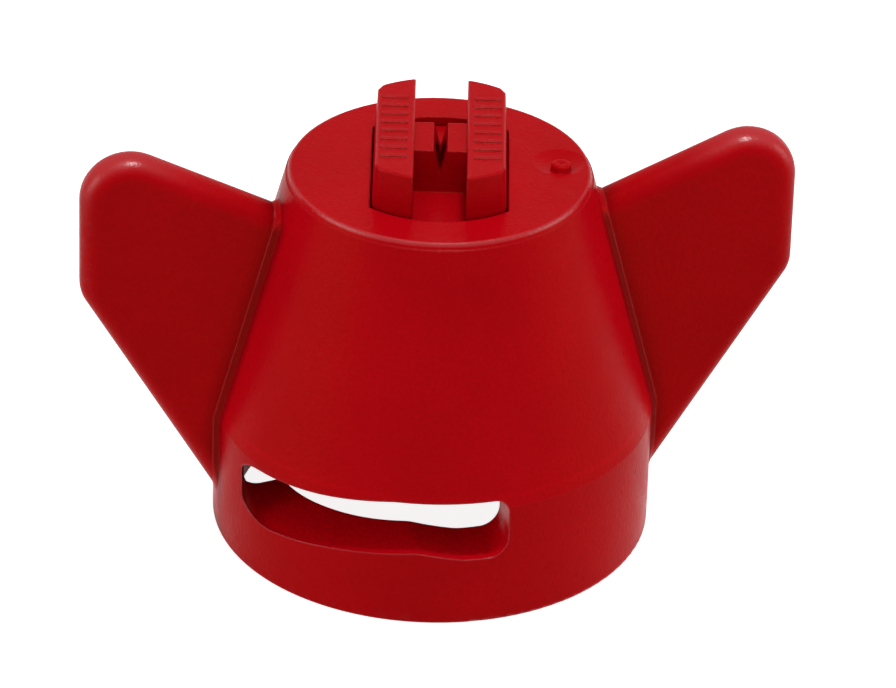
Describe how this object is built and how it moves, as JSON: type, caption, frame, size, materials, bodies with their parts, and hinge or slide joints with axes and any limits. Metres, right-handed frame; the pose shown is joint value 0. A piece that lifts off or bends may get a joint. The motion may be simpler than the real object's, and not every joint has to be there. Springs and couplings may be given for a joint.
{
  "type": "flat-fan spray tip in winged quarter-turn cap",
  "caption": "Winged quarter-turn bayonet cap with lug windows, holding a flat-fan spray tip and its seal ring for a sprayer nozzle body.",
  "frame": {"origin": "centre of the cap's bottom rim, on the plane that it stands on", "axes": "+Z along the spray axis from the open mouth to the spray tip, +X along the thumb wings"},
  "size_m": [0.0476, 0.0294, 0.0294],
  "materials": {
    "cap_plastic": "moulded plastic, satin gloss, faint moulding texture",
    "tip_plastic": "moulded plastic, satin gloss, plain engraved bars",
    "gasket_rubber": "moulded synthetic rubber, dull"
  },
  "bodies": {
    "cap_body": {"cap": "cap_plastic"},
    "tip_body": {"spray_tip": "tip_plastic"},
    "gasket_body": {"gasket": "gasket_rubber"}
  },
  "joints": [
    {"name": "tip_slide", "type": "slide", "parent": "cap_body", "child": "tip_body", "axis": [0, 0, -1], "range_m": [0, 0.032]},
    {"name": "gasket_slide", "type": "slide", "parent": "tip_body", "child": "gasket_body", "axis": [0, 0, -1], "range_m": [0, 0.024]}
  ]
}
